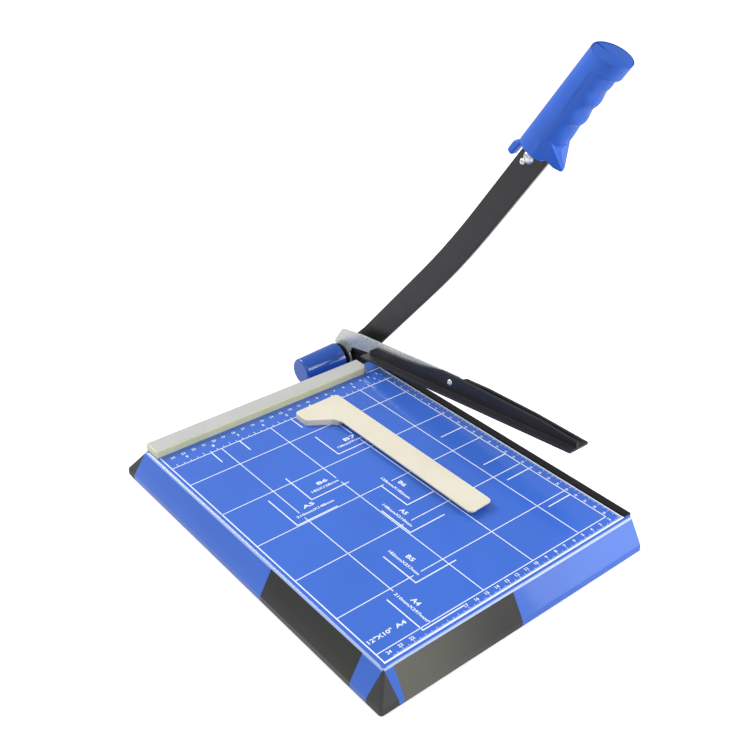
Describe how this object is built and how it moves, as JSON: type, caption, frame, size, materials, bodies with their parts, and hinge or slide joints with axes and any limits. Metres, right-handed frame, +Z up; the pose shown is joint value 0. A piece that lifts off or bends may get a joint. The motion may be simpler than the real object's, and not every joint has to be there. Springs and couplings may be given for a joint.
{
  "type": "paper trimmer",
  "caption": "Guillotine paper trimmer: blue printed steel table, pivoting black blade arm with a moulded grip, finger guard, rear fence and loose L-shaped paper guide.",
  "frame": {"origin": "on the surface that the feet stand on, under the middle of the whole object with its arm raised", "axes": "+Z up, +X towards the cutting side where the blade arm is, +Y towards the rear where the pivot and fence are"},
  "size_m": [0.2796, 0.3946, 0.3781],
  "materials": {
    "blue_paint": "smooth blue enamel on pressed steel, printed in white on the table",
    "corner_plastic": "moulded dark plastic",
    "zinc_steel": "zinc plated steel with a faint bluish bloom",
    "foot_rubber": "moulded black rubber",
    "screw_steel": "bright plated screw steel",
    "black_knife": "black coated tool steel with a ground top edge",
    "black_blade": "black coated blade steel with a ground land along its edge",
    "fence_plastic": "pale cream green plastic, slightly clear at its edges",
    "fence_grey": "flat light grey top plate",
    "guide_plastic": "cream moulded plastic",
    "magnet_black": "dark ferrite discs",
    "pivot_steel": "plated bolt steel",
    "spring_steel": "dark oiled spring wire",
    "guard_plastic": "black moulded plastic, fine grain",
    "handle_plastic": "blue moulded plastic in two halves"
  },
  "bodies": {
    "table": {"base_pan": "blue_paint", "spring_cap": "blue_paint", "corner_cap_front": "corner_plastic", "corner_cap_rear": "corner_plastic", "cross_brace_front": "zinc_steel", "cross_brace_rear": "zinc_steel", "guard_spacer": "zinc_steel", "rubber_foot_front_left": "foot_rubber", "rubber_foot_front_right": "foot_rubber", "rubber_foot_rear_left": "foot_rubber", "rubber_foot_rear_right": "foot_rubber", "foot_screws": "screw_steel", "knife_screws": "screw_steel", "fence_screws": "screw_steel", "bed_knife": "black_knife", "seat_washer": "black_knife", "fence": "fence_plastic", "fence_plate": "fence_grey", "pivot_bolt": "pivot_steel", "bolt_washer": "pivot_steel", "end_washer": "pivot_steel", "lock_nut": "pivot_steel", "pivot_spring": "spring_steel"},
    "arm": {"blade_arm": "black_blade", "arm_screw": "screw_steel", "arm_nut": "screw_steel", "arm_rivet": "screw_steel", "handle_left": "handle_plastic", "handle_right": "handle_plastic", "handle_end_cap": "handle_plastic", "grip_screws": "screw_steel"},
    "guard": {"guard_plate": "zinc_steel", "finger_guard": "guard_plastic", "guard_screw": "screw_steel", "guard_nut": "screw_steel"},
    "guide": {"paper_guide": "guide_plastic", "guide_magnets": "magnet_black"}
  },
  "joints": [
    {"name": "arm_pivot", "type": "hinge", "parent": "table", "child": "arm", "pos_m": [0.1242, 0.1819, 0.01735], "axis": [-1, 0, 0], "range_deg": [-45.2, 25]},
    {"name": "guard_pivot", "type": "hinge", "parent": "table", "child": "guard", "pos_m": [0.1242, 0.1819, 0.01735], "axis": [-1, 0, 0], "range_deg": [-6.58, 33]},
    {"name": "guide_slide", "type": "slide", "parent": "table", "child": "guide", "axis": [1, 0, 0], "range_m": [-0.12, 0.045]}
  ]
}
